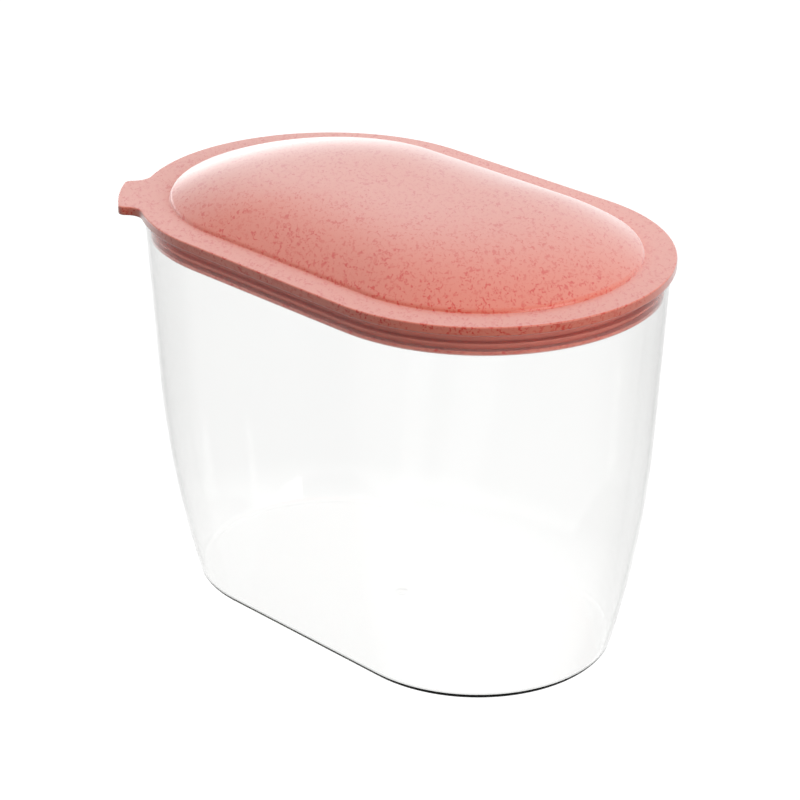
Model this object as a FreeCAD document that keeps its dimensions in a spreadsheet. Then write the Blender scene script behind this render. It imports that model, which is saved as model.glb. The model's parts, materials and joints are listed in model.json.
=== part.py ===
"""Food keeper: a clear vessel, a domed lid that plugs into its rim, and the soft seal round the plug.

Millimetres, +Z up. The origin is the middle of the base, on the surface that the keeper stands on.
X runs along the longer side, and the lid's lift tab points between -X and -Y. Seen from above, every
piece is a stadium: straight sides joined by half rounds, whose centres lie end_offset either side of
the origin. So each piece is one section, padded along the sides and revolved round the ends.
"""
import FreeCAD, Part
import Sketcher
import math
import os

SIZES = {
    # flange of the lid, the widest outline
    "flange_length": 200.0,
    "flange_width": 127.5,
    "flange_thick": 3.1,
    "flange_round": 0.5,
    # dome on the flange: strip of flat flange round it, upright step at its foot, bulge above, shell
    "dome_inset": 10.7,
    "dome_step": 1.0,
    "dome_bulge": 10.4,
    "lid_wall": 2.0,
    # lift tab, turned from the long axis
    "tab_angle": 45.0,
    "tab_width": 26.0,
    "tab_reach": 7.0,
    "tab_root_round": 6.0,
    "tab_tip_round": 2.5,
    # plug below the flange, with its bead and the groove for the seal
    "plug_depth": 7.85,
    "bead_height": 1.65,
    "plug_lead_in": 0.6,
    "groove_depth": 3.4,
    # room between the vessel's wall and what slides past it
    "wall_gap": 0.3,
    # seal: ring, its ease in the groove, and its lip below the flange
    "seal_thick": 1.7,
    "seal_fit": 0.1,
    "lip_drop": 3.5,
    "lip_thick": 1.0,
    "lip_round_share": 0.35,
    # vessel: height to the rim, upper wall leaning out by the draft, then one arc in to the base
    "body_height": 138.0,
    "rim_overhang": 1.5,
    "wall_thick": 1.4,
    "wall_draft": 3.05,
    "belly_height": 78.0,
    "base_inset": 15.5,
    "base_thick": 1.6,
    "base_round": 3.2,
    "base_inner_round": 2.0,
    "rim_round_share": 0.3,
}

DERIVED = {
    # outlines seen from above
    "flange_radius": "=flange_width / 2",
    "end_offset": "=(flange_length - flange_width) / 2",
    "side_length": "=2 * end_offset",
    "rim_radius": "=flange_radius - rim_overhang",
    "base_radius": "=rim_radius - base_inset",
    # upper wall of the vessel, and the level across it
    "wall_slope": "=tan(wall_draft)",
    "rim_inner_radius": "=rim_radius - wall_thick / cos(wall_draft)",
    "belly_radius": "=rim_radius - (body_height - belly_height) * wall_slope",
    "belly_inner_radius": "=belly_radius - wall_thick * cos(wall_draft)",
    "belly_inner_height": "=belly_height + wall_thick * sin(wall_draft)",
    "rim_round": "=wall_thick * rim_round_share",
    # arc from the upper wall to the base, tangent to the wall, and the same arc inside
    "belly_step": "=belly_radius - base_radius",
    "belly_lean": "=belly_step * cos(wall_draft) - belly_height * sin(wall_draft)",
    "belly_arc": "=(belly_step^2 + belly_height^2) / (2 * belly_lean)",
    "belly_inner_arc": "=belly_arc - wall_thick",
    "belly_centre": "=belly_radius - belly_arc * cos(wall_draft)",
    "belly_fall": "=belly_height + belly_arc * sin(wall_draft) - base_thick",
    "base_inner_radius": "=belly_centre + sqrt(belly_inner_arc^2 - belly_fall^2)",
    # heights in the lid: the plug's lower edge, then the flange's top from that edge and from the base
    "plug_foot_height": "=body_height - plug_depth",
    "flange_top": "=plug_depth + flange_thick",
    "flange_top_height": "=body_height + flange_thick",
    # dome, and the hollow under it, whose straight part goes up through the flange
    "dome_radius": "=flange_radius - dome_inset",
    "dome_inner_radius": "=dome_radius - lid_wall",
    "hollow_depth": "=flange_thick + dome_step - lid_wall",
    # plug, clear of the wall at its lowest edge, where the vessel is narrowest
    "bead_radius": "=rim_inner_radius - plug_depth * wall_slope - wall_gap",
    "bead_edge_radius": "=bead_radius - plug_lead_in",
    "groove_radius": "=bead_radius - groove_depth",
    "plug_inner_radius": "=groove_radius - lid_wall",
    # tab, whose tip is round about the same centre as the flange's end
    "tab_end": "=flange_radius + tab_reach",
    "tab_half_width": "=tab_width / 2",
    "tab_corner": "=sqrt(tab_end^2 - tab_half_width^2)",
    "tab_turn": "=180 + tab_angle",
    # seal, eased in its groove, with its lip clear of the wall
    "seal_inner_radius": "=groove_radius + seal_fit",
    "seal_outer_radius": "=seal_inner_radius + seal_thick",
    "seal_bottom": "=bead_height + seal_fit",
    "seal_top": "=plug_depth - seal_fit",
    "lip_top": "=plug_depth - lip_drop",
    "lip_bottom": "=lip_top - lip_thick",
    "lip_radius": "=rim_inner_radius - (lip_drop + lip_thick) * wall_slope - wall_gap",
    "lip_round": "=lip_thick * lip_round_share",
}

# the dome is a pillow: each level line is its foot's outline, scaled by one of these shares, and the
# bulge falls off from the crown with this power of the share
LEVEL_SHARES = (1.0, 0.94, 0.86, 0.75, 0.6, 0.4, 0.2)
BULGE_POWER = 4
for level, level_share in enumerate(LEVEL_SHARES):
    DERIVED[f"dome_offset_{level}"] = f"=end_offset * {level_share}"
    DERIVED[f"dome_radius_{level}"] = f"=dome_radius * {level_share}"
    DERIVED[f"hollow_radius_{level}"] = f"=dome_inner_radius * {level_share}"
    DERIVED[f"dome_rise_{level}"] = f"=dome_step + dome_bulge * (1 - {level_share}^{BULGE_POWER})"
    DERIVED[f"dome_height_{level}"] = f"=flange_top_height + dome_rise_{level}"
    DERIVED[f"hollow_height_{level}"] = f"=dome_height_{level} - lid_wall"

ON_AXIS = "zero"
HALF_TURN = 180.0
# two places count as one when they are this near, in millimetres
SAME_PLACE = 1e-4

doc = FreeCAD.newDocument("food_keeper")
sheet = doc.addObject("Spreadsheet::Sheet", "Sizes")


def fill_sheet():
    """Writes the driving sizes, then the sizes that follow from them, each under its own alias."""
    cells = {alias: str(number) for alias, number in SIZES.items()}
    cells.update(DERIVED)
    for row, (alias, content) in enumerate(cells.items(), start=1):
        sheet.set(f"A{row}", alias)
        sheet.set(f"B{row}", content)
        sheet.setAlias(f"B{row}", alias)
    doc.recompute()


def size(alias):
    """The value of one cell of the sheet, turned round if a minus sign stands before its alias."""
    if alias == ON_AXIS:
        return 0.0
    sign = -1.0 if alias.startswith("-") else 1.0
    return sign * float(getattr(sheet, alias.lstrip("-")))


def bind(thing, target, alias):
    """Drives one property or constraint of an object from the sheet."""
    thing.setExpression(target, f"Sizes.{alias}")


def new_body(label):
    """An empty body that will become one piece."""
    body = doc.addObject("PartDesign::Body", label)
    body.Label = label
    return body


def origin_plane(body, role):
    """One of the body's own base planes."""
    return next(feature for feature in body.Origin.OriginFeatures if feature.Role == role)


def new_sketch(body, name, role):
    """A sketch on one of the body's own base planes."""
    sketch = body.newObject("Sketcher::SketchObject", name)
    sketch.AttachmentSupport = [(origin_plane(body, role), "")]
    sketch.MapMode = "FlatFace"
    return sketch


def arc_between(start, end, radius):
    """The short arc from start to end: a positive radius turns left, a negative one turns right."""
    middle = (start + end) / 2
    half = (end - start).Length / 2
    to_left = FreeCAD.Vector(start.y - end.y, end.x - start.x, 0).normalize()
    bulge = abs(radius) - math.sqrt(radius**2 - half**2)
    return Part.Arc(start, middle - to_left * math.copysign(bulge, radius), end)


def hold(sketch, kind, element, alias):
    """Adds one driven dimension to a sketch."""
    index = sketch.addConstraint(Sketcher.Constraint(kind, *element, size(alias)))
    bind(sketch, f"Constraints[{index}]", alias)


def hold_corner(sketch, kind, corner, alias):
    """Places a corner across or up from the sketch's origin."""
    if alias == ON_AXIS:
        axis = -2 if kind == "DistanceX" else -1
        sketch.addConstraint(Sketcher.Constraint("PointOnObject", *corner, axis))
    elif alias.startswith("-"):
        hold(sketch, kind, (*corner, -1, 1), alias.lstrip("-"))
    else:
        hold(sketch, kind, (-1, 1, *corner), alias)


def draw_outline(sketch, corners, left_arcs=None, right_arcs=None):
    """Draws a closed outline through corners that the sheet places.

    A corner is a pair of aliases, across and up. The run that leaves a corner is straight, unless
    the corner's number is in left_arcs or right_arcs, which give the alias of an arc's radius.
    """
    radii = {number: size(alias) for number, alias in (left_arcs or {}).items()}
    radii.update({number: -size(alias) for number, alias in (right_arcs or {}).items()})
    places = [FreeCAD.Vector(size(across), size(up), 0) for across, up in corners]
    for number, start in enumerate(places):
        end = places[(number + 1) % len(places)]
        if number in radii:
            sketch.addGeometry(arc_between(start, end, radii[number]))
        else:
            sketch.addGeometry(Part.LineSegment(start, end))
    # a positive turn keeps an arc's own start at the corner; the other way swaps its ends
    first = [2 if radii.get(number, 1.0) < 0 else 1 for number in range(len(places))]
    for number, (across, up) in enumerate(corners):
        before = (number - 1) % len(places)
        corner = (number, first[number])
        sketch.addConstraint(Sketcher.Constraint("Coincident", before, 3 - first[before], *corner))
        hold_corner(sketch, "DistanceX", corner, across)
        hold_corner(sketch, "DistanceY", corner, up)
    for number, alias in {**(left_arcs or {}), **(right_arcs or {})}.items():
        hold(sketch, "Radius", (number,), alias)


def mirror(body, name, feature, role):
    """A mirrored copy of one feature, across one of the body's own base planes."""
    copy = body.newObject("PartDesign::Mirrored", name)
    copy.Originals = [feature]
    copy.MirrorPlane = (origin_plane(body, role), [""])
    body.Tip = copy
    doc.recompute()


def stadium_solid(label, corners, datum=None, left_arcs=None, right_arcs=None):
    """Makes a body whose section follows a stadium: padded along the sides, revolved round the ends."""
    body = new_body(label)
    section = new_sketch(body, f"{label}_section", "YZ_Plane")
    bind(section, "AttachmentOffset.Base.z", "end_offset")
    if datum:
        bind(section, "AttachmentOffset.Base.y", datum)
    draw_outline(section, corners, left_arcs, right_arcs)
    doc.recompute()
    side = body.newObject("PartDesign::Pad", f"{label}_side")
    side.Profile = section
    bind(side, "Length", "side_length")
    side.Reversed = True
    doc.recompute()
    mirror(body, f"{label}_other_side", side, "XZ_Plane")
    end = body.newObject("PartDesign::Revolution", f"{label}_end")
    end.Profile = section
    end.ReferenceAxis = (section, ["V_Axis"])
    end.Angle = HALF_TURN
    end.Reversed = True
    doc.recompute()
    mirror(body, f"{label}_other_end", end, "YZ_Plane")
    return body


def from_spine(place):
    """How far a place lies from the line that joins the centres of the two round ends, seen from above."""
    beyond = max(abs(place.x) - size("end_offset"), 0.0)
    return math.hypot(beyond, place.y)


def middle_of(edge):
    """The point half way along an edge."""
    return edge.valueAt((edge.FirstParameter + edge.LastParameter) / 2)


def is_level(edge, height):
    """Whether both ends and the middle of an edge lie at one height."""
    places = [vertex.Point for vertex in edge.Vertexes] + [middle_of(edge)]
    return all(abs(place.z - height) < SAME_PLACE for place in places)


def is_upright(edge):
    """Whether an edge stands upright."""
    ends = [vertex.Point for vertex in edge.Vertexes]
    return math.hypot(ends[0].x - ends[-1].x, ends[0].y - ends[-1].y) < SAME_PLACE


def is_on_ring(edge, radius):
    """Whether an edge runs along the stadium that lies one radius from the spine."""
    places = [vertex.Point for vertex in edge.Vertexes] + [middle_of(edge)]
    return not is_upright(edge) and all(abs(from_spine(place) - radius) < SAME_PLACE for place in places)


def round_edges(body, name, alias, wanted):
    """Rounds the edges that a test picks out, by one size of the sheet."""
    base = body.Tip
    edges = [f"Edge{number}" for number, edge in enumerate(base.Shape.Edges, start=1) if wanted(edge)]
    rounding = body.newObject("PartDesign::Fillet", name)
    rounding.Base = (base, edges)
    bind(rounding, "Radius", alias)
    doc.recompute()


def make_container_body():
    """The vessel: open at the rim, upper wall leaning out, belly arc down to a flat base."""
    body = stadium_solid(
        "container_body",
        [
            ("rim_radius", "body_height"),
            ("belly_radius", "belly_height"),
            ("base_radius", ON_AXIS),
            (ON_AXIS, ON_AXIS),
            (ON_AXIS, "base_thick"),
            ("base_inner_radius", "base_thick"),
            ("belly_inner_radius", "belly_inner_height"),
            ("rim_inner_radius", "body_height"),
        ],
        left_arcs={5: "belly_inner_arc"},
        right_arcs={1: "belly_arc"},
    )
    floor = size("base_thick")
    rim = size("body_height")
    rim_rings = [size("rim_radius"), size("rim_inner_radius")]

    def rim_edge(edge):
        return is_level(edge, rim) and any(is_on_ring(edge, radius) for radius in rim_rings)

    round_edges(body, "base_rounding", "base_round", lambda edge: is_level(edge, 0.0))
    round_edges(body, "base_inner_rounding", "base_inner_round", lambda edge: is_level(edge, floor))
    round_edges(body, "rim_rounding", "rim_round", rim_edge)
    return body


def make_lid_shell():
    """The lid: flange, plug with its bead, hollow dome, and the lift tab in the plane of the flange."""
    body = stadium_solid(
        "lid_shell",
        [
            (ON_AXIS, "flange_top"),
            ("flange_radius", "flange_top"),
            ("flange_radius", "plug_depth"),
            ("groove_radius", "plug_depth"),
            ("groove_radius", "bead_height"),
            ("bead_radius", "bead_height"),
            ("bead_radius", "plug_lead_in"),
            ("bead_edge_radius", ON_AXIS),
            ("plug_inner_radius", ON_AXIS),
            ("plug_inner_radius", "plug_depth"),
            (ON_AXIS, "plug_depth"),
        ],
        datum="plug_foot_height",
    )
    add_dome(body)
    add_tab(body)
    lower = size("body_height")
    upper = lower + size("flange_thick")

    def outer_edge(edge):
        level = is_level(edge, lower) or is_level(edge, upper)
        return level and from_spine(middle_of(edge)) > size("flange_radius") - SAME_PLACE

    round_edges(body, "flange_rounding", "flange_round", outer_edge)
    return body


def stadium_outline(body, name, radius, offset, height):
    """A stadium seen from above, at one height: two half rounds joined by straight sides."""
    sketch = new_sketch(body, name, "XY_Plane")
    bind(sketch, "AttachmentOffset.Base.z", height)
    reach = size(offset)
    quarter = math.pi / 2
    for centre, first in ((reach, -quarter), (-reach, quarter)):
        circle = Part.Circle(FreeCAD.Vector(centre, 0, 0), FreeCAD.Vector(0, 0, 1), size(radius))
        sketch.addGeometry(Part.ArcOfCircle(circle, first, first + math.pi))
        start = FreeCAD.Vector(centre, math.copysign(size(radius), centre), 0)
        sketch.addGeometry(Part.LineSegment(start, FreeCAD.Vector(-centre, start.y, 0)))
    # the half rounds are elements 0 and 2, the straight sides 1 and 3, each ending where the next starts
    for number in range(4):
        sketch.addConstraint(Sketcher.Constraint("Tangent", number, 2, (number + 1) % 4, 1))
    sketch.addConstraint(Sketcher.Constraint("Equal", 0, 2))
    for number in (0, 2):
        sketch.addConstraint(Sketcher.Constraint("PointOnObject", number, 3, -1))
    hold(sketch, "DistanceX", (-1, 1, 0, 3), offset)
    hold(sketch, "DistanceX", (2, 3, -1, 1), offset)
    hold(sketch, "Radius", (0,), radius)
    doc.recompute()
    return sketch


def loft_levels(body, kind, name):
    """Lofts through the level lines of the dome or of the hollow under it."""
    outlines = []
    for level in range(len(LEVEL_SHARES)):
        places = (f"{name}_radius_{level}", f"dome_offset_{level}", f"{name}_height_{level}")
        outlines.append(stadium_outline(body, f"{name}_level_{level}", *places))
    loft = body.newObject(kind, f"{name}_crown")
    loft.Profile = outlines[0]
    loft.Sections = outlines[1:]
    doc.recompute()


def add_dome(body):
    """The dome: an upright step on the flange, the bulge above it, and the hollow one wall below both."""
    foot = stadium_outline(body, "dome_foot", "dome_radius", "end_offset", "flange_top_height")
    step = body.newObject("PartDesign::Pad", "dome_step_pad")
    step.Profile = foot
    bind(step, "Length", "dome_step")
    doc.recompute()
    loft_levels(body, "PartDesign::AdditiveLoft", "dome")
    mouth = stadium_outline(body, "hollow_mouth", "dome_inner_radius", "end_offset", "body_height")
    hollow = body.newObject("PartDesign::Pocket", "hollow_pocket")
    hollow.Profile = mouth
    bind(hollow, "Length", "hollow_depth")
    hollow.Reversed = True
    doc.recompute()
    loft_levels(body, "PartDesign::SubtractiveLoft", "hollow")


def add_tab(body):
    """The lift tab: as thick as the flange, rounded into it at the root and rounded at its corners."""
    plan = new_sketch(body, "tab_plan", "XY_Plane")
    about_z = FreeCAD.Rotation(FreeCAD.Vector(0, 0, 1), size("tab_turn"))
    plan.AttachmentOffset = FreeCAD.Placement(FreeCAD.Vector(), about_z)
    plan.setExpression("AttachmentOffset.Base.x", "-Sizes.end_offset")
    bind(plan, "AttachmentOffset.Base.z", "body_height")
    bind(plan, "AttachmentOffset.Rotation.Angle", "tab_turn")
    draw_outline(
        plan,
        [
            ("dome_radius", "-tab_half_width"),
            ("tab_corner", "-tab_half_width"),
            ("tab_corner", "tab_half_width"),
            ("dome_radius", "tab_half_width"),
        ],
        left_arcs={1: "tab_end"},
    )
    doc.recompute()
    tab = body.newObject("PartDesign::Pad", "tab")
    tab.Profile = plan
    bind(tab, "Length", "flange_thick")
    doc.recompute()
    to_tab = plan.getGlobalPlacement().inverse()

    def upright_corner(edge, tip):
        ends = [to_tab.multVec(vertex.Point) for vertex in edge.Vertexes]
        beside = all(abs(abs(end.y) - size("tab_half_width")) < SAME_PLACE and end.x > 0 for end in ends)
        at_tip = all(abs(end.x - size("tab_corner")) < SAME_PLACE for end in ends)
        return is_upright(edge) and beside and at_tip == tip

    round_edges(body, "tab_root_rounding", "tab_root_round", lambda edge: upright_corner(edge, False))
    round_edges(body, "tab_tip_rounding", "tab_tip_round", lambda edge: upright_corner(edge, True))


def make_lid_seal():
    """The seal: a ring that fills the plug's groove, with a thin lip that reaches towards the wall."""
    body = stadium_solid(
        "lid_seal",
        [
            ("seal_inner_radius", "seal_bottom"),
            ("seal_outer_radius", "seal_bottom"),
            ("seal_outer_radius", "lip_bottom"),
            ("lip_radius", "lip_bottom"),
            ("lip_radius", "lip_top"),
            ("seal_outer_radius", "lip_top"),
            ("seal_outer_radius", "seal_top"),
            ("seal_inner_radius", "seal_top"),
        ],
        datum="plug_foot_height",
    )
    reach = size("lip_radius")
    round_edges(body, "lip_rounding", "lip_round", lambda edge: is_on_ring(edge, reach))
    return body


def check(bodies):
    """Stops unless every object is sound and every piece is one valid solid."""
    for thing in doc.Objects:
        if {"Invalid", "Error"} & set(thing.State):
            raise RuntimeError(f"{thing.Label} failed: {thing.State}")
    for body in bodies:
        shape = body.Shape
        if shape.isNull() or not shape.isValid() or len(shape.Solids) != 1:
            raise RuntimeError(f"{body.Label} is not one valid solid")


def write(bodies):
    """Writes each piece to its own file."""
    os.makedirs("parts", exist_ok=True)
    for body in bodies:
        body.Shape.exportStep(f"parts/{body.Label}.step")
        box = body.Shape.optimalBoundingBox(False, False)
        print(f"{body.Label}: volume {body.Shape.Volume:.1f} mm3, X {box.XMin:.2f} to {box.XMax:.2f}, "
              f"Y {box.YMin:.2f} to {box.YMax:.2f}, Z {box.ZMin:.2f} to {box.ZMax:.2f}")


fill_sheet()
pieces = [make_container_body(), make_lid_shell(), make_lid_seal()]
doc.recompute()
check(pieces)
write(pieces)
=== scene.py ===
"""Looks of the food keeper: a hazy clear vessel, a flecked coral lid that plugs into it, and a soft seal.

Metres, +Z up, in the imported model's own frame. Seen from above every piece is a stadium, so a piece is
drawn as a section at one end and carried round: half round, straight side, half round, straight side.
"""
import json
import logging
import math
from dataclasses import dataclass
from enum import Enum
from typing import Callable

import bmesh
import bpy
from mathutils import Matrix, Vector

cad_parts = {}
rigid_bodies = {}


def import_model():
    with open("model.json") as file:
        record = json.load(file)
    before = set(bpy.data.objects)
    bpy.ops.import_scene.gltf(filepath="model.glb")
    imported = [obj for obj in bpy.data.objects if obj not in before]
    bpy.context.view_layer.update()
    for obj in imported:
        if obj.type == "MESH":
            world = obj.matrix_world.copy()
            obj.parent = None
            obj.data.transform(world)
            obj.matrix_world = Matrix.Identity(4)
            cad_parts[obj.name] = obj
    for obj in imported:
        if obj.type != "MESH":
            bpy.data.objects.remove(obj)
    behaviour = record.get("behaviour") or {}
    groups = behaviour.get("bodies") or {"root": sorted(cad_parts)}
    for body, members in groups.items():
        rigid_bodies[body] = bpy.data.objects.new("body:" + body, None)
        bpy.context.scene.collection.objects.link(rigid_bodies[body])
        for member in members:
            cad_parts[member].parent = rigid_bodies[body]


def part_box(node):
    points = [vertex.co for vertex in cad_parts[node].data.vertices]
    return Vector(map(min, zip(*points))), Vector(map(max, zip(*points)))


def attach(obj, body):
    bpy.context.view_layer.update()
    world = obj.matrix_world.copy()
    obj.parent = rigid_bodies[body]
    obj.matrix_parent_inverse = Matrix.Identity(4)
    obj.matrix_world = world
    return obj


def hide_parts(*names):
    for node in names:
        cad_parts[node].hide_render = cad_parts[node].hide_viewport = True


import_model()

MM = 0.001
LOG = logging.getLogger("food_keeper")
# two points count as one when they are this near
SAME_PLACE = 0.002 * MM
# the bevel profile of a true round
ROUND = 0.5
UP = Vector((0, 0, 1))
WHITE = "FFFFFF"
BLACK = "000000"


class Body(Enum):
    """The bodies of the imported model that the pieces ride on."""

    VESSEL = "vessel"
    LID = "lid"


class Slot(Enum):
    """The record's material slots."""

    CLEAR = "clear_plastic"
    CORAL = "coral_flecked_plastic"
    SILICONE = "coral_silicone"


def linear(colour: str) -> tuple[float, float, float, float]:
    """Turns an sRGB colour into the linear one that Blender's sockets hold.

    Args:
        colour: The colour as six hex digits.

    Returns:
        Red, green, blue and a full alpha.
    """
    shares = [int(colour[start:start + 2], 16) / 255 for start in (0, 2, 4)]
    red, green, blue = (
        share / 12.92 if share <= 0.04045 else ((share + 0.055) / 1.055) ** 2.4 for share in shares
    )
    return red, green, blue, 1.0


def connect(node: bpy.types.Node, inputs: dict) -> None:
    """Gives a node's inputs what they need.

    Args:
        node: The node.
        inputs: Values or output sockets, by the input's name or number.
    """
    for name, given in inputs.items():
        if isinstance(given, bpy.types.NodeSocket):
            node.id_data.links.new(given, node.inputs[name])
        else:
            node.inputs[name].default_value = given


def add_node(tree: bpy.types.NodeTree, kind: str, inputs: dict | None = None, **settings) -> bpy.types.Node:
    """Adds one node.

    Args:
        tree: The node tree it goes into.
        kind: Blender's name for the node.
        inputs: Values or output sockets, by the input's name or number.
        **settings: The node's own properties.

    Returns:
        The node.
    """
    node = tree.nodes.new(kind)
    for name, setting in settings.items():
        setattr(node, name, setting)
    connect(node, inputs or {})
    return node


def object_place(tree: bpy.types.NodeTree) -> bpy.types.NodeSocket:
    """The place on the object, which here is the place in the shared frame."""
    return add_node(tree, "ShaderNodeTexCoord").outputs["Object"]


def noise(
    tree: bpy.types.NodeTree,
    place: bpy.types.NodeSocket,
    width: float,
    detail: float,
    roughness: float = 0.5,
    distortion: float = 0.0,
) -> bpy.types.NodeSocket:
    """Adds soft noise.

    Args:
        tree: The node tree.
        place: Where the noise is read.
        width: How wide one swell is.
        detail: How many finer layers lie on it.
        roughness: How strong the finer layers are.
        distortion: How far the swells are bent.

    Returns:
        The noise, about a half on average.
    """
    inputs = {"Vector": place, "Scale": 1 / width, "Detail": detail}
    inputs |= {"Roughness": roughness, "Distortion": distortion}
    return add_node(tree, "ShaderNodeTexNoise", inputs).outputs["Fac"]


def ramp(
    tree: bpy.types.NodeTree,
    given: bpy.types.NodeSocket,
    span: tuple[float, float],
    low: float | bpy.types.NodeSocket = 0.0,
    high: float | bpy.types.NodeSocket = 1.0,
) -> bpy.types.NodeSocket:
    """Maps a value evenly from a span to two ends, and holds it there.

    Args:
        tree: The node tree.
        given: The value.
        span: Where the change begins and where it is over.
        low: The result before the span.
        high: The result past the span.

    Returns:
        The result.
    """
    inputs = {"Value": given, "From Min": span[0], "From Max": span[1], "To Min": low, "To Max": high}
    return add_node(tree, "ShaderNodeMapRange", inputs).outputs["Result"]


def compute(
    tree: bpy.types.NodeTree, operation: str, *values: float | bpy.types.NodeSocket
) -> bpy.types.NodeSocket:
    """Adds one step of arithmetic.

    Args:
        tree: The node tree.
        operation: Blender's name for the step.
        *values: Numbers or output sockets.

    Returns:
        The result.
    """
    return add_node(tree, "ShaderNodeMath", dict(enumerate(values)), operation=operation).outputs[0]


def mix(
    tree: bpy.types.NodeTree, share: bpy.types.NodeSocket, first: object, second: object, kind: str = "FLOAT"
) -> bpy.types.NodeSocket:
    """Mixes two numbers or two colours.

    Args:
        tree: The node tree.
        share: How much of the second one there is.
        first: A value or an output socket.
        second: A value or an output socket.
        kind: Blender's name for what is mixed.

    Returns:
        The mixture.
    """
    inputs = {"Factor": share, "A": first, "B": second}
    return add_node(tree, "ShaderNodeMix", inputs, data_type=kind).outputs["Result"]


def bump(tree: bpy.types.NodeTree, height: bpy.types.NodeSocket, depth: float) -> bpy.types.NodeSocket:
    """Turns a height from 0 to 1 into a normal, for relief of the given depth."""
    return add_node(tree, "ShaderNodeBump", {"Height": height, "Distance": depth}).outputs["Normal"]


def new_material(name: str) -> tuple[bpy.types.Material, bpy.types.Node]:
    """Makes a material with an empty shader.

    Args:
        name: What the real material is.

    Returns:
        The material and its Principled shader, which is already its surface.
    """
    material = bpy.data.materials.new(name)
    material.use_nodes = True
    return material, material.node_tree.nodes["Principled BSDF"]


@dataclass(frozen=True)
class ClearPolypropylene:
    """Clarified polypropylene, moulded: clear to what touches it, and hazier the further off a thing is.

    The eye sees it by its bright edges and by soft reflections that the wall's faint ripple bends.
    """

    name: str = "clarified_polypropylene_moulded"
    tint: str = "FDFDFD"
    ior: float = 1.49
    haze: float = 0.04
    depth_tint: str = "F4F6EF"
    depth_density: float = 45.0
    ripple_width: float = 14 * MM
    ripple_depth: float = 0.02 * MM

    def make(self) -> bpy.types.Material:
        """Makes the material.

        Returns:
            The material: rough clear plastic whose walls are flat only to a few hundredths of a millimetre.
        """
        material, shader = new_material(self.name)
        tree = material.node_tree
        ripple = noise(tree, object_place(tree), self.ripple_width, detail=1.0)
        connect(shader, {
            "Base Color": linear(self.tint),
            "Transmission Weight": 1.0,
            "IOR": self.ior,
            "Roughness": self.haze,
            "Normal": bump(tree, ripple, self.ripple_depth),
        })
        depths = {"Color": linear(self.depth_tint), "Density": self.depth_density}
        depth = add_node(tree, "ShaderNodeVolumeAbsorption", depths)
        connect(tree.nodes["Material Output"], {"Volume": depth.outputs[0]})
        return material


@dataclass(frozen=True)
class FleckedPolypropylene:
    """Coral polypropylene, moulded with red fibre flecks in it and a fine satin texture on it.

    The eye sees a warm ground with darker specks and threads, and a pale bloom where the surface turns away.
    """

    name: str = "flecked_coral_polypropylene_satin"
    ground: str = "EA806A"
    fleck: str = "DC3A22"
    ior: float = 1.5
    roughness: float = 0.24
    bloom: float = 1.0
    bloom_roughness: float = 0.5
    speck_spacing: float = 1.2 * MM
    speck_bend: float = 0.8
    # a speck begins at the first level of its noise and is full at the second
    speck_levels: tuple[float, float] = (0.545, 0.68)
    thread_spacing: float = 1.6 * MM
    thread_width: float = 0.4 * MM
    thread_bend: float = 0.6
    # a thread follows this level of its noise, and its half width there is this share of width by spacing
    thread_level: float = 0.5
    thread_share: float = 0.125
    # pieces of thread follow each other this much closer than threads do
    piece_share: float = 1.3
    piece_roughness: float = 0.4
    piece_levels: tuple[float, float] = (0.57, 0.65)
    # the melt leaves more flecks in some places than in others
    gather_width: float = 5.0 * MM
    gather_levels: tuple[float, float] = (0.35, 0.6)
    gather_least: float = 0.45
    # flecks lie a little longer along the way that the melt ran, from corner to corner
    flow_turn: float = math.radians(45)
    flow_stretch: float = 1.8
    grain: float = 0.5 * MM
    grain_depth: float = 0.006 * MM

    def make(self) -> bpy.types.Material:
        """Makes the material.

        Returns:
            The material: specks and short crooked threads at random places in an even ground.
        """
        material, shader = new_material(self.name)
        tree = material.node_tree
        place = object_place(tree)
        turned = {"Vector": place, "Rotation": (0, 0, self.flow_turn), "Scale": (1, self.flow_stretch, 1)}
        flow = add_node(tree, "ShaderNodeMapping", turned, vector_type="TEXTURE").outputs["Vector"]
        specks = noise(tree, flow, self.speck_spacing, detail=1.0, distortion=self.speck_bend)
        on_speck = ramp(tree, specks, self.speck_levels)
        on_fleck = compute(tree, "MAXIMUM", on_speck, self.add_threads(tree, flow))
        gather = noise(tree, place, self.gather_width, detail=1.0)
        crowd = ramp(tree, gather, self.gather_levels, low=self.gather_least)
        share = compute(tree, "MULTIPLY", on_fleck, crowd)
        texture = noise(tree, place, self.grain, detail=2.0)
        connect(shader, {
            "Base Color": mix(tree, share, linear(self.ground), linear(self.fleck), "RGBA"),
            "Roughness": self.roughness,
            "IOR": self.ior,
            "Sheen Weight": self.bloom,
            "Sheen Roughness": self.bloom_roughness,
            "Normal": bump(tree, texture, self.grain_depth),
        })
        return material

    def add_threads(self, tree: bpy.types.NodeTree, flow: bpy.types.NodeSocket) -> bpy.types.NodeSocket:
        """Adds crooked threads: level lines of soft noise, of which a second noise leaves short pieces.

        Args:
            tree: The node tree.
            flow: The place, drawn out along the flow.

        Returns:
            How much of a thread there is at the place.
        """
        thread = noise(tree, flow, self.thread_spacing, detail=2.0, distortion=self.thread_bend)
        from_line = compute(tree, "SUBTRACT", thread, self.thread_level)
        off_line = compute(tree, "ABSOLUTE", from_line)
        half_width = self.thread_width / self.thread_spacing * self.thread_share
        on_line = ramp(tree, off_line, (half_width, half_width * 2), low=1.0, high=0.0)
        piece_spacing = self.thread_spacing / self.piece_share
        pieces = noise(tree, flow, piece_spacing, detail=1.0, roughness=self.piece_roughness)
        kept = ramp(tree, pieces, self.piece_levels)
        return compute(tree, "MULTIPLY", on_line, kept)


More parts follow.
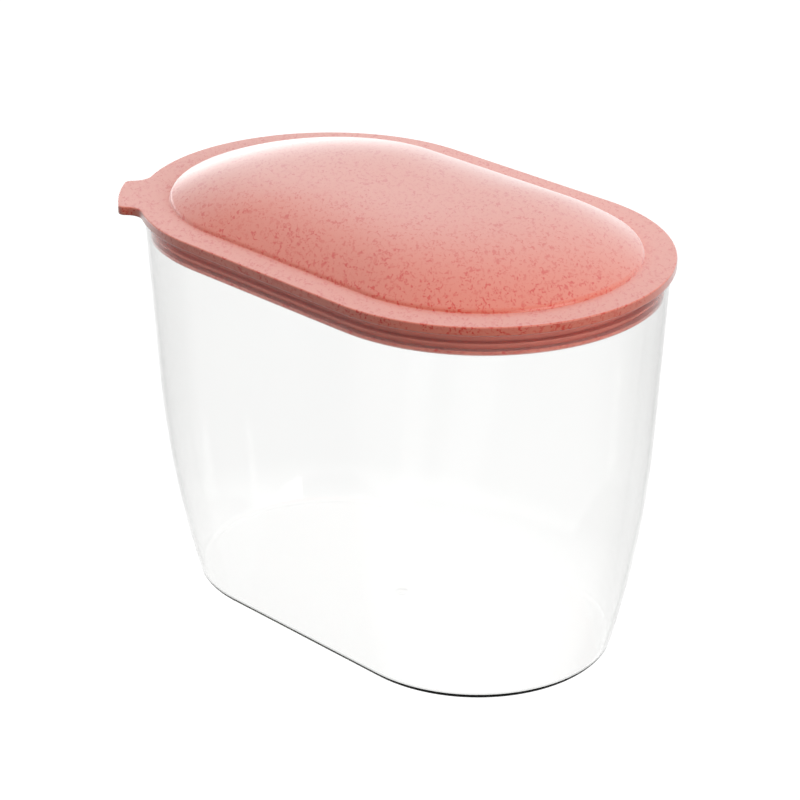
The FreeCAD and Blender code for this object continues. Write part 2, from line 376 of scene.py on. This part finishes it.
@dataclass(frozen=True)
class CoralSilicone:
    """Coral silicone rubber, moulded: matt, with faint clouds where dust and the mould left it uneven.

    The eye sees a soft, even band with no clear reflection.
    """

    name: str = "coral_silicone_moulded"
    ground: str = "E07A66"
    cloud: str = "D66E5C"
    ior: float = 1.43
    roughness: float = 0.55
    cloud_width: float = 9 * MM

    def make(self) -> bpy.types.Material:
        """Makes the material.

        Returns:
            The material: a soft matt ground with low-contrast clouds.
        """
        material, shader = new_material(self.name)
        tree = material.node_tree
        clouds = noise(tree, object_place(tree), self.cloud_width, detail=3.0)
        connect(shader, {
            "Base Color": mix(tree, clouds, linear(self.ground), linear(self.cloud), "RGBA"),
            "Roughness": self.roughness,
            "IOR": self.ior,
        })
        return material


@dataclass(frozen=True)
class Plan:
    """The stadium that all the pieces share, read from the lid's box in the frame."""

    flange_radius: float
    end_offset: float
    steps_round: int = 64
    steps_straight: int = 8

    @classmethod
    def from_frame(cls) -> "Plan":
        """Reads the flange's outline: its half width, and how far each end's centre lies from the middle."""
        _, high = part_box("lid_shell")
        return cls(flange_radius=high.y, end_offset=high.x - high.y)

    def at(self, across: float, up: float) -> Vector:
        """A place in the section where the right-hand round end begins, on the -Y side."""
        return Vector((self.end_offset, -across, up))

    def on(self, point: Vector) -> Vector:
        """The same for a point of the section, which holds across and up."""
        return self.at(point.x, point.y)

    def across(self, place: Vector) -> float:
        """How far a place lies from the stadium's spine, the line that joins the centres of its ends."""
        return math.hypot(max(abs(place.x) - self.end_offset, 0.0), place.y)


class Moulding:
    """A mesh drawn in edit mode by extruding and spinning its last point, as by hand."""

    def __init__(self, name: str) -> None:
        """Starts an empty mesh object.

        Args:
            name: The piece's name.
        """
        bpy.ops.object.select_all(action="DESELECT")
        bpy.ops.mesh.primitive_plane_add(size=MM)
        self.piece: bpy.types.Object = bpy.context.object
        self.piece.name = name
        self.piece.data.name = name
        bpy.ops.object.mode_set(mode="EDIT")
        bpy.ops.mesh.delete(type="VERT")
        self.place = Vector()

    def start(self, place: Vector) -> None:
        """Sets down the first point of a line.

        Args:
            place: Where it goes.
        """
        bpy.ops.mesh.select_all(action="DESELECT")
        bpy.ops.mesh.primitive_plane_add(size=MM)
        bpy.ops.mesh.merge(type="CENTER")
        bpy.ops.transform.translate(value=place)
        self.place = place

    def line_to(self, *places: Vector) -> None:
        """Extrudes the last point straight to one place after another.

        Args:
            *places: The places.
        """
        for place in places:
            bpy.ops.mesh.extrude_region_move(TRANSFORM_OT_translate={"value": place - self.place})
            self.place = place

    def arc_to(self, end: Vector, centre: Vector, steps: int) -> None:
        """Spins the last point round a centre, the short way.

        Args:
            end: Where the arc ends, as far from the centre as the last point is.
            centre: The centre.
            steps: How many straight runs make the arc.
        """
        before = self.place - centre
        after = end - centre
        # spin turns clockwise round its axis, so the angle is negative
        axis = before.cross(after).normalized()
        bpy.ops.mesh.spin(steps=steps, angle=-before.angle(after), center=centre, axis=axis)
        self.place = end

    def sweep(self, plan: Plan) -> None:
        """Carries the line just drawn round the stadium.

        Args:
            plan: The stadium.
        """
        bpy.ops.mesh.select_linked()
        for side in (1, -1):
            centre = (side * plan.end_offset, 0, 0)
            bpy.ops.mesh.spin(steps=plan.steps_round, angle=-math.pi, center=centre, axis=UP)
            stride = Vector((-side * 2 * plan.end_offset / plan.steps_straight, 0, 0))
            for _ in range(plan.steps_straight):
                bpy.ops.mesh.extrude_region_move(TRANSFORM_OT_translate={"value": stride})
        self.merge()

    def merge(self) -> None:
        """Joins points that lie in one place."""
        bpy.ops.mesh.select_all(action="SELECT")
        bpy.ops.mesh.remove_doubles(threshold=SAME_PLACE)

    def pick(self, wanted: Callable[[Vector], bool]) -> None:
        """Selects points, with the edges and faces between them.

        Args:
            wanted: Tells whether a place is picked.
        """
        bpy.ops.mesh.select_mode(type="VERT")
        bpy.ops.mesh.select_all(action="DESELECT")
        mesh = bmesh.from_edit_mesh(self.piece.data)
        for point in mesh.verts:
            point.select_set(wanted(point.co))
        mesh.select_flush(True)
        bmesh.update_edit_mesh(self.piece.data)

    def pick_level(self, height: float, beyond: Callable[[Vector], bool] = lambda place: True) -> None:
        """Selects the points at one height.

        Args:
            height: The height.
            beyond: Tells whether a place at that height is picked.
        """
        self.pick(lambda place: abs(place.z - height) < SAME_PLACE and beyond(place))

    def scale_up(self, share: float, rise: float) -> None:
        """Extrudes the selected ring to a scaled copy of itself, higher up.

        Args:
            share: The copy's size, as a share of the ring's.
            rise: How much higher the copy lies.
        """
        bpy.ops.mesh.extrude_region_move(TRANSFORM_OT_translate={"value": UP * rise})
        bpy.ops.transform.resize(value=(share, share, 1), center_override=(0, 0, 0))

    def finish(self, smooth_angle: float = 32.0) -> bpy.types.Object:
        """Turns the faces outwards and smooths the mesh.

        Args:
            smooth_angle: Edges that turn by more than this, in degrees, stay sharp.

        Returns:
            The finished object.
        """
        self.merge()
        bpy.ops.mesh.normals_make_consistent(inside=False)
        bpy.ops.object.mode_set(mode="OBJECT")
        bpy.ops.object.shade_smooth_by_angle(angle=math.radians(smooth_angle))
        weights = self.piece.modifiers.new("weighted_normals", "WEIGHTED_NORMAL")
        weights.keep_sharp = True
        bpy.ops.object.modifier_apply(modifier=weights.name)
        return self.piece


def settle(piece: bpy.types.Object, body: Body, node: str, material: bpy.types.Material) -> None:
    """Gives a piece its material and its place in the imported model.

    Args:
        piece: The piece.
        body: The body that it moves with.
        node: The node that it stands for.
        material: The material.
    """
    piece.data.materials.clear()
    piece.data.materials.append(material)
    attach(piece, body.value)
    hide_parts(node)
    LOG.info("%s: %d faces, %s", piece.name, len(piece.data.polygons), material.name)


@dataclass
class Vessel:
    """The see-through vessel: rim, drafted upper wall, belly arc and flat base."""

    plan: Plan
    height: float
    rim_overhang: float = 1.5 * MM
    wall: float = 1.4 * MM
    draft: float = math.radians(3.05)
    belly_height: float = 78 * MM
    base_inset: float = 15.5 * MM
    base_thick: float = 1.6 * MM
    base_round: float = 3.2 * MM
    base_inner_round: float = 2.0 * MM
    rim_round: float = 0.42 * MM
    gate_radius: float = 2.2 * MM
    gate_depth: float = 0.12 * MM
    nub_share: float = 0.28
    corner_steps: int = 8
    belly_steps: int = 24
    rim_steps: int = 4
    gate_steps: int = 32

    def __post_init__(self) -> None:
        """Works out the radii and the belly arc."""
        self.rim_radius = self.plan.flange_radius - self.rim_overhang
        self.rim_inner_radius = self.rim_radius - self.wall / math.cos(self.draft)
        belly_radius = self.rim_radius - (self.height - self.belly_height) * math.tan(self.draft)
        step = belly_radius - (self.rim_radius - self.base_inset)
        lean = step * math.cos(self.draft) - self.belly_height * math.sin(self.draft)
        self.belly_arc = (step**2 + self.belly_height**2) / (2 * lean)
        # section coordinates: across from the stadium's spine, then up
        self.outward = Vector((math.cos(self.draft), -math.sin(self.draft)))
        self.belly_centre = Vector((belly_radius, self.belly_height)) - self.outward * self.belly_arc

    def base_corner(self, arc: float, floor: float, rounding: float) -> tuple[Vector, Vector, Vector]:
        """The rounding between the belly arc and the base, outside or inside.

        Args:
            arc: The belly arc's radius.
            floor: The height of the base's surface.
            rounding: The rounding's radius.

        Returns:
            Where the rounding leaves the arc, where it meets the base, and its centre.
        """
        fall = self.belly_centre.y - floor - rounding
        across = self.belly_centre.x + math.sqrt((arc - rounding) ** 2 - fall**2)
        centre = Vector((across, floor + rounding))
        on_arc = self.belly_centre + (centre - self.belly_centre) * arc / (arc - rounding)
        return on_arc, Vector((across, floor)), centre

    def build(self) -> bpy.types.Object:
        """Models the vessel.

        Returns:
            The vessel.
        """
        moulding = Moulding("clear_vessel")
        self.draw_section(moulding)
        moulding.sweep(self.plan)
        self.add_gate_mark(moulding)
        bpy.ops.mesh.select_all(action="SELECT")
        bpy.ops.mesh.fill_holes(sides=0)
        return moulding.finish()

    def draw_section(self, moulding: Moulding) -> None:
        """Draws the wall's section from under the base, over the rim and down to the floor inside.

        Args:
            moulding: The mesh that it goes into.
        """
        on = self.plan.on
        arc = self.belly_arc
        inner_arc = arc - self.wall
        rounding = self.rim_round
        outer_on_arc, outer_on_base, outer_centre = self.base_corner(arc, 0.0, self.base_round)
        inner_on_arc, inner_on_floor, inner_centre = self.base_corner(
            inner_arc, self.base_thick, self.base_inner_round
        )
        lean = (1 + math.sin(self.draft)) / math.cos(self.draft)
        rim_out = Vector((self.rim_radius - rounding * lean, self.height - rounding))
        rim_in = Vector((self.rim_inner_radius + rounding / lean, self.height - rounding))
        over = Vector((0, rounding))
        moulding.start(on(outer_on_base))
        moulding.arc_to(on(outer_on_arc), on(outer_centre), self.corner_steps)
        moulding.arc_to(on(self.belly_centre + self.outward * arc), on(self.belly_centre), self.belly_steps)
        moulding.line_to(on(rim_out + self.outward * rounding))
        moulding.arc_to(on(rim_out + over), on(rim_out), self.rim_steps)
        moulding.line_to(on(rim_in + over))
        moulding.arc_to(on(rim_in - self.outward * rounding), on(rim_in), self.rim_steps)
        moulding.line_to(on(self.belly_centre + self.outward * inner_arc))
        moulding.arc_to(on(inner_on_arc), on(self.belly_centre), self.belly_steps)
        moulding.arc_to(on(inner_on_floor), on(inner_centre), self.corner_steps)

    def add_gate_mark(self, moulding: Moulding) -> None:
        """Sinks the round dimple with a nub that moulding leaves in the middle of the base.

        Args:
            moulding: The vessel's mesh.
        """
        bpy.ops.mesh.primitive_circle_add(vertices=self.gate_steps, radius=self.gate_radius)
        moulding.pick_level(0.0)
        bpy.ops.mesh.fill(use_beauty=False)
        moulding.pick(lambda place: place.length < self.gate_radius + SAME_PLACE)
        bpy.ops.mesh.delete(type="ONLY_FACE")
        moulding.pick(lambda place: place.length < self.gate_radius + SAME_PLACE)
        moulding.scale_up(1.0, self.gate_depth)
        moulding.scale_up(self.nub_share, 0.0)
        moulding.scale_up(1.0, -self.gate_depth / 2)

    def dress(self) -> None:
        """Models the vessel and puts it in the scene."""
        settle(self.build(), Body.VESSEL, "container_body", ClearPolypropylene().make())


@dataclass
class LidShell:
    """The coral lid: flange with its lift tab, pillow-shaped dome, plug with its bead, and the hollow."""

    plan: Plan
    rim_height: float
    flange_thick: float = 3.1 * MM
    flange_round: float = 0.5 * MM
    dome_inset: float = 10.7 * MM
    dome_step: float = 1.5 * MM
    dome_bulge: float = 9.9 * MM
    foot_round: float = 0.3 * MM
    foot_slope: float = math.radians(84)
    flank_slope: float = math.radians(32)
    bulge_power: int = 4
    levels: int = 26
    wall: float = 2.0 * MM
    tab_angle: float = math.radians(225)
    tab_width: float = 26 * MM
    tab_reach: float = 7 * MM
    tab_root_round: float = 6 * MM
    tab_tip_round: float = 2.5 * MM
    plug_depth: float = 7.85 * MM
    bead_height: float = 1.65 * MM
    lead_in: float = 0.6 * MM
    # the bead stays 0.3 mm clear of the vessel's wall at the plug's foot
    bead_radius: float = 60.13 * MM
    groove_depth: float = 3.4 * MM
    edge_sharpness: float = math.radians(60)
    edge_steps: int = 4
    quarter_steps: int = 32
    tab_steps: int = 8
    tip_steps: int = 12
    before_tab_steps: int = 42
    after_tab_steps: int = 12
    foot_steps: int = 6
    shoulder_steps: int = 4

    def __post_init__(self) -> None:
        """Works out the heights and radii."""
        self.flange_top = self.rim_height + self.flange_thick
        self.dome_radius = self.plan.flange_radius - self.dome_inset
        self.hollow_radius = self.dome_radius - self.wall
        self.groove_radius = self.bead_radius - self.groove_depth
        self.plug_radius = self.groove_radius - self.wall
        self.plug_foot = self.rim_height - self.plug_depth

    def build(self) -> bpy.types.Object:
        """Models the lid.

        Returns:
            The lid.
        """
        moulding = Moulding("coral_lid")
        self.draw_plate(moulding)
        self.draw_dome(moulding)
        self.draw_underside(moulding)
        for level, ring in ((self.flange_top, self.dome_radius), (self.rim_height, self.groove_radius)):
            moulding.pick_level(level, lambda place: self.plan.across(place) > ring - SAME_PLACE)
            bpy.ops.mesh.fill(use_beauty=False)
        return moulding.finish()

    def draw_plate(self, moulding: Moulding) -> None:
        """Draws the flange's rounded edge, with the tab in its outline.

        Args:
            moulding: The mesh that it goes into.
        """
        self.draw_outline(moulding)
        moulding.merge()
        bpy.ops.mesh.edge_face_add()
        bpy.ops.mesh.extrude_region_move(TRANSFORM_OT_translate={"value": UP * self.flange_thick})
        bpy.ops.mesh.select_all(action="DESELECT")
        bpy.ops.mesh.select_mode(type="EDGE")
        bpy.ops.mesh.edges_select_sharp(sharpness=self.edge_sharpness)
        bpy.ops.mesh.bevel(offset=self.flange_round, segments=self.edge_steps, profile=ROUND, affect="EDGES")
        for level in (self.flange_top, self.rim_height):
            moulding.pick_level(level)
            bpy.ops.mesh.delete(type="ONLY_FACE")

    def draw_outline(self, moulding: Moulding) -> None:
        """Draws the flange's outline, counter-clockwise from the front of the right-hand end.

        Args:
            moulding: The mesh that it goes into.
        """
        radius = self.plan.flange_radius
        right = Vector((self.plan.end_offset, 0, self.rim_height))
        left = Vector((-self.plan.end_offset, 0, self.rim_height))
        outward = Vector((math.cos(self.tab_angle), math.sin(self.tab_angle), 0))
        along = UP.cross(outward)
        half = self.tab_width / 2
        root_side = half + self.tab_root_round
        root_out = math.sqrt((radius + self.tab_root_round) ** 2 - root_side**2)
        tip_radius = radius + self.tab_reach
        tip_side = half - self.tab_tip_round
        tip_out = math.sqrt((tip_radius - self.tab_tip_round) ** 2 - tip_side**2)
        moulding.start(right - Vector((0, radius, 0)))
        moulding.arc_to(right + Vector((radius, 0, 0)), right, self.quarter_steps)
        moulding.arc_to(right + Vector((0, radius, 0)), right, self.quarter_steps)
        moulding.line_to(left + Vector((0, radius, 0)))
        root = outward * root_out - along * root_side
        tip = outward * tip_out - along * tip_side
        moulding.arc_to(left + root * radius / root.length, left, self.before_tab_steps)
        moulding.arc_to(left + outward * root_out - along * half, left + root, self.tab_steps)
        moulding.line_to(left + outward * tip_out - along * half)
        moulding.arc_to(left + tip * tip_radius / tip.length, left + tip, self.tab_steps)
        root = outward * root_out + along * root_side
        tip = outward * tip_out + along * tip_side
        moulding.arc_to(left + tip * tip_radius / tip.length, left, self.tip_steps)
        moulding.arc_to(left + outward * tip_out + along * half, left + tip, self.tab_steps)
        moulding.line_to(left + outward * root_out + along * half)
        moulding.arc_to(left + root * radius / root.length, left + root, self.tab_steps)
        moulding.arc_to(left - Vector((0, radius, 0)), left, self.after_tab_steps)
        moulding.line_to(right - Vector((0, radius, 0)))

    def draw_pillow(self, moulding: Moulding, foot: float) -> None:
        """Extrudes the selected outline level by level to the crown of a pillow, and closes it.

        Args:
            moulding: The mesh that it goes into.
            foot: The height of the outline.
        """
        share_before = 1.0
        height_before = foot
        for level in range(1, self.levels):
            # levels lie closer together near the foot, where the pillow is steepest
            share = math.cos(level / self.levels * math.pi / 2)
            height = foot + self.dome_bulge * (1 - share**self.bulge_power)
            moulding.scale_up(share / share_before, height - height_before)
            share_before = share
            height_before = height
        bpy.ops.mesh.edge_face_add()

    def draw_dome(self, moulding: Moulding) -> None:
        """Draws the dome: the step at its foot, rounded both ways, then the pillow.

        Args:
            moulding: The mesh that it goes into.
        """
        steep = self.foot_slope
        flank = self.flank_slope
        # the upper round takes what the lower one leaves of the step's height
        lower = self.foot_round
        upper = (self.dome_step - lower * (1 - math.cos(steep))) / (math.cos(flank) - math.cos(steep))
        low_centre = Vector((self.dome_radius + lower * math.sin(steep), self.flange_top + lower))
        turn = Vector((self.dome_radius, self.flange_top + lower * (1 - math.cos(steep))))
        high_centre = turn - Vector((math.sin(steep), math.cos(steep))) * upper
        top = high_centre + Vector((math.sin(flank), math.cos(flank))) * upper
        moulding.start(self.plan.at(low_centre.x, self.flange_top))
        moulding.arc_to(self.plan.on(turn), self.plan.on(low_centre), self.foot_steps)
        moulding.arc_to(self.plan.on(top), self.plan.on(high_centre), self.shoulder_steps)
        moulding.sweep(self.plan)
        moulding.pick_level(top.y)
        self.draw_pillow(moulding, top.y)

    def draw_underside(self, moulding: Moulding) -> None:
        """Draws what lies under the flange: groove, bead, plug, and the hollow under the dome.

        Args:
            moulding: The mesh that it goes into.
        """
        at = self.plan.at
        bead_top = self.plug_foot + self.bead_height
        hollow_foot = self.flange_top + self.dome_step - self.wall
        moulding.start(at(self.groove_radius, self.rim_height))
        moulding.line_to(
            at(self.groove_radius, bead_top),
            at(self.bead_radius, bead_top),
            at(self.bead_radius, self.plug_foot + self.lead_in),
            at(self.bead_radius - self.lead_in, self.plug_foot),
            at(self.plug_radius, self.plug_foot),
            at(self.plug_radius, self.rim_height),
            at(self.hollow_radius, self.rim_height),
            at(self.hollow_radius, hollow_foot),
        )
        moulding.sweep(self.plan)
        moulding.pick_level(hollow_foot, lambda place: self.plan.across(place) < self.dome_radius)
        self.draw_pillow(moulding, hollow_foot)

    def dress(self) -> None:
        """Models the lid and puts it in the scene."""
        settle(self.build(), Body.LID, "lid_shell", FleckedPolypropylene().make())


@dataclass
class LidSeal:
    """The soft ring in the plug's groove, with the thin lip that reaches towards the wall."""

    plan: Plan
    bottom: float
    top: float
    inner_radius: float = 56.83 * MM
    thick: float = 1.7 * MM
    # the lip stays about 0.3 mm clear of the vessel's wall
    lip_radius: float = 60.308 * MM
    lip_drop: float = 3.4 * MM
    lip_thick: float = 1.0 * MM
    lip_round: float = 0.35 * MM
    lip_steps: int = 3

    def build(self) -> bpy.types.Object:
        """Models the seal.

        Returns:
            The seal.
        """
        at = self.plan.at
        outer = self.inner_radius + self.thick
        lip_top = self.top - self.lip_drop
        lip_bottom = lip_top - self.lip_thick
        moulding = Moulding("coral_seal")
        moulding.start(at(self.inner_radius, self.bottom))
        moulding.line_to(
            at(outer, self.bottom),
            at(outer, lip_bottom),
            at(self.lip_radius, lip_bottom),
            at(self.lip_radius, lip_top),
            at(outer, lip_top),
            at(outer, self.top),
            at(self.inner_radius, self.top),
            at(self.inner_radius, self.bottom),
        )
        moulding.sweep(self.plan)
        moulding.pick(lambda place: abs(self.plan.across(place) - self.lip_radius) < SAME_PLACE)
        bpy.ops.mesh.bevel(offset=self.lip_round, segments=self.lip_steps, profile=ROUND, affect="EDGES")
        return moulding.finish()

    def dress(self) -> None:
        """Models the seal and puts it in the scene."""
        settle(self.build(), Body.LID, "lid_seal", CoralSilicone().make())


def direction(azimuth: float, elevation: float) -> Vector:
    """Points from the keeper to a place round it.

    Args:
        azimuth: Degrees: 0 lies on the -Y side, and 90 on the +X side.
        elevation: Degrees above the floor.

    Returns:
        A vector of length 1.
    """
    turn = math.radians(azimuth)
    tilt = math.radians(elevation)
    return Vector((math.sin(turn) * math.cos(tilt), -math.cos(turn) * math.cos(tilt), math.sin(tilt)))


@dataclass(frozen=True)
class Softbox:
    """One large soft light, aimed at the keeper."""

    name: str
    azimuth: float
    elevation: float
    distance: float
    width: float
    height: float
    radiance: float

    def place(self, target: Vector) -> None:
        """Adds the light.

        Args:
            target: The point that it is aimed at.
        """
        data = bpy.data.lights.new(self.name, "AREA")
        data.shape = "RECTANGLE"
        data.size = self.width
        data.size_y = self.height
        # an area light of this power leaves each point of its face with the given radiance
        data.energy = self.radiance * math.pi * self.width * self.height
        lamp = bpy.data.objects.new(self.name, data)
        bpy.context.scene.collection.objects.link(lamp)
        away = direction(self.azimuth, self.elevation)
        lamp.location = target + away * self.distance
        lamp.rotation_euler = away.to_track_quat("Z", "Y").to_euler()


@dataclass(frozen=True)
class Studio:
    """A pale floor, soft light and the camera. Azimuth 0 looks along +Y, and 90 looks along -X."""

    floor_size: float = 60.0
    floor_gap: float = 0.2 * MM
    floor_light: float = 1.1
    # the table is a little brighter under the keeper, in an oval of these half sizes
    patch: tuple[float, float] = (0.14, 0.1)
    patch_span: tuple[float, float] = (0.1, 0.4)
    patch_light: float = 1.2
    # what is left of the floor's light after a matt bounce: little round this X, more to both sides of it
    matt_middle: float = 0.12
    matt_span: tuple[float, float] = (0.08, 0.2)
    matt_share: float = 0.1
    matt_side_share: float = 2.2
    # the same after a glossy bounce, near the keeper and far from it
    glossy_span: tuple[float, float] = (0.1, 0.2)
    glossy_share: float = 0.82
    glossy_far_share: float = 0.62
    # the sky in front grows with height, and the sky behind is even; spans are shares of a ray of length 1
    front_span: tuple[float, float] = (0.25, 0.85)
    sky_top: float = 1.14
    back_way: tuple[float, float, float] = (-0.42, 0.91, 0.0)
    back_span: tuple[float, float] = (-0.5, 0.5)
    sky_back: float = 0.97
    # below the horizon it is dark in front and bright behind, with a brighter strip low on the left
    ground_near: float = 0.1
    far_span: tuple[float, float] = (0.3, 0.9)
    ground_far: float = 1.4
    strip_side_span: tuple[float, float] = (-0.66, -0.78)
    strip_low_span: tuple[float, float] = (-0.36, -0.24)
    ground_strip: float = 5.0
    horizon_span: tuple[float, float] = (-0.02, 0.2)
    camera_azimuth: float = 45.246
    camera_elevation: float = 24.870
    camera_distance: float = 0.89627
    camera_aim: Vector = Vector((0.01755, -0.01782, 0.08713))
    camera_lens: float = 121.4
    lights: tuple[Softbox, ...] = (
        Softbox("right_box", azimuth=90, elevation=8, distance=1.6, width=1.2, height=0.8, radiance=3.4),
    )

    def build(self) -> None:
        """Adds the floor, the lights and the camera."""
        self.add_floor()
        self.add_camera()
        for light in self.lights:
            light.place(self.camera_aim)
        self.add_surround()
        bpy.context.scene.view_settings.view_transform = "Standard"

    def add_surround(self) -> None:
        """Adds the soft light from all round: the sky, and ground that is bright only behind the keeper."""
        world = bpy.data.worlds.new("soft_surround")
        world.use_nodes = True
        bpy.context.scene.world = world
        tree = world.node_tree
        ray = add_node(tree, "ShaderNodeTexCoord").outputs["Generated"]
        way = add_node(tree, "ShaderNodeSeparateXYZ", {"Vector": ray}).outputs
        front = ramp(tree, way["Z"], self.front_span, self.ground_near, self.sky_top)
        back = add_node(tree, "ShaderNodeVectorMath", {0: ray, 1: self.back_way}, operation="DOT_PRODUCT")
        sky = ramp(tree, back.outputs["Value"], self.back_span, front, self.sky_back)
        turn = math.radians(self.camera_azimuth)
        behind = (-math.sin(turn), math.cos(turn), 0)
        ahead = add_node(tree, "ShaderNodeVectorMath", {0: ray, 1: behind}, operation="DOT_PRODUCT")
        far = ramp(tree, ahead.outputs["Value"], self.far_span)
        left = ramp(tree, way["X"], self.strip_side_span)
        low = ramp(tree, way["Z"], self.strip_low_span)
        strip = compute(tree, "MULTIPLY", left, low)
        glow = ramp(tree, strip, (0.0, 1.0), self.ground_far, self.ground_strip)
        ground = mix(tree, far, self.ground_near, glow)
        upper = ramp(tree, way["Z"], self.horizon_span)
        radiance = mix(tree, upper, ground, sky)
        connect(tree.nodes["Background"], {"Strength": radiance, "Color": linear(WHITE)})

    def add_floor(self) -> None:
        """Adds the pale floor, which shines as a light table does."""
        bpy.ops.object.select_all(action="DESELECT")
        bpy.ops.mesh.primitive_plane_add(size=self.floor_size, location=(0, 0, -self.floor_gap))
        floor = bpy.context.object
        floor.name = "pale_floor"
        material, shader = new_material("light_table")
        connect(shader, {
            "Base Color": linear(BLACK),
            "Specular IOR Level": 0.0,
            "Emission Color": linear(WHITE),
            "Emission Strength": self.floor_shine(material.node_tree),
        })
        floor.data.materials.append(material)
        floor.visible_diffuse = False
        floor.visible_glossy = False

    def floor_shine(self, tree: bpy.types.NodeTree) -> bpy.types.NodeSocket:
        """Works out the floor's light: full to the eye, also through the clear wall, and changed by a bounce.

        Args:
            tree: The floor's node tree.

        Returns:
            The strength of the light.
        """
        place = object_place(tree)
        oval = {"Vector": place, "Scale": (1 / self.patch[0], 1 / self.patch[1], 1)}
        spread = add_node(tree, "ShaderNodeMapping", oval).outputs["Vector"]
        middle = add_node(tree, "ShaderNodeTexGradient", {"Vector": spread}, gradient_type="SPHERICAL")
        shine = ramp(tree, middle.outputs["Fac"], self.patch_span, self.floor_light, self.patch_light)
        along = add_node(tree, "ShaderNodeSeparateXYZ", {"Vector": place}).outputs["X"]
        aside = compute(tree, "ABSOLUTE", compute(tree, "SUBTRACT", along, self.matt_middle))
        matt = ramp(tree, aside, self.matt_span, self.matt_share, self.matt_side_share)
        away = add_node(tree, "ShaderNodeVectorMath", {0: place}, operation="LENGTH").outputs["Value"]
        gloss = ramp(tree, away, self.glossy_span, self.glossy_share, self.glossy_far_share)
        path = add_node(tree, "ShaderNodeLightPath").outputs
        for depth, share in (("Diffuse Depth", matt), ("Glossy Depth", gloss)):
            left = ramp(tree, path[depth], (0.0, 1.0), 1.0, share)
            shine = compute(tree, "MULTIPLY", left, shine)
        return shine

    def add_camera(self) -> None:
        """Adds the camera at the photograph's angle."""
        data = bpy.data.cameras.new("camera")
        data.lens = self.camera_lens
        camera = bpy.data.objects.new("camera", data)
        bpy.context.scene.collection.objects.link(camera)
        away = direction(self.camera_azimuth, self.camera_elevation)
        camera.location = self.camera_aim + away * self.camera_distance
        tilt = math.radians(self.camera_elevation)
        camera.rotation_euler = (math.pi / 2 - tilt, 0, math.radians(self.camera_azimuth))
        bpy.context.scene.camera = camera


def main() -> None:
    """Builds the keeper's pieces in order, sized from the imported vessel's and seal's boxes, then the
    studio.
    """
    logging.basicConfig(level=logging.INFO, format="%(name)s: %(message)s")
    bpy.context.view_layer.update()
    plan = Plan.from_frame()
    _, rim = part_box("container_body")
    seal_low, seal_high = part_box("lid_seal")
    Vessel(plan, height=rim.z).dress()
    LidShell(plan, rim_height=rim.z).dress()
    LidSeal(plan, bottom=seal_low.z, top=seal_high.z).dress()
    Studio().build()


if __name__ == "__main__":
    main()
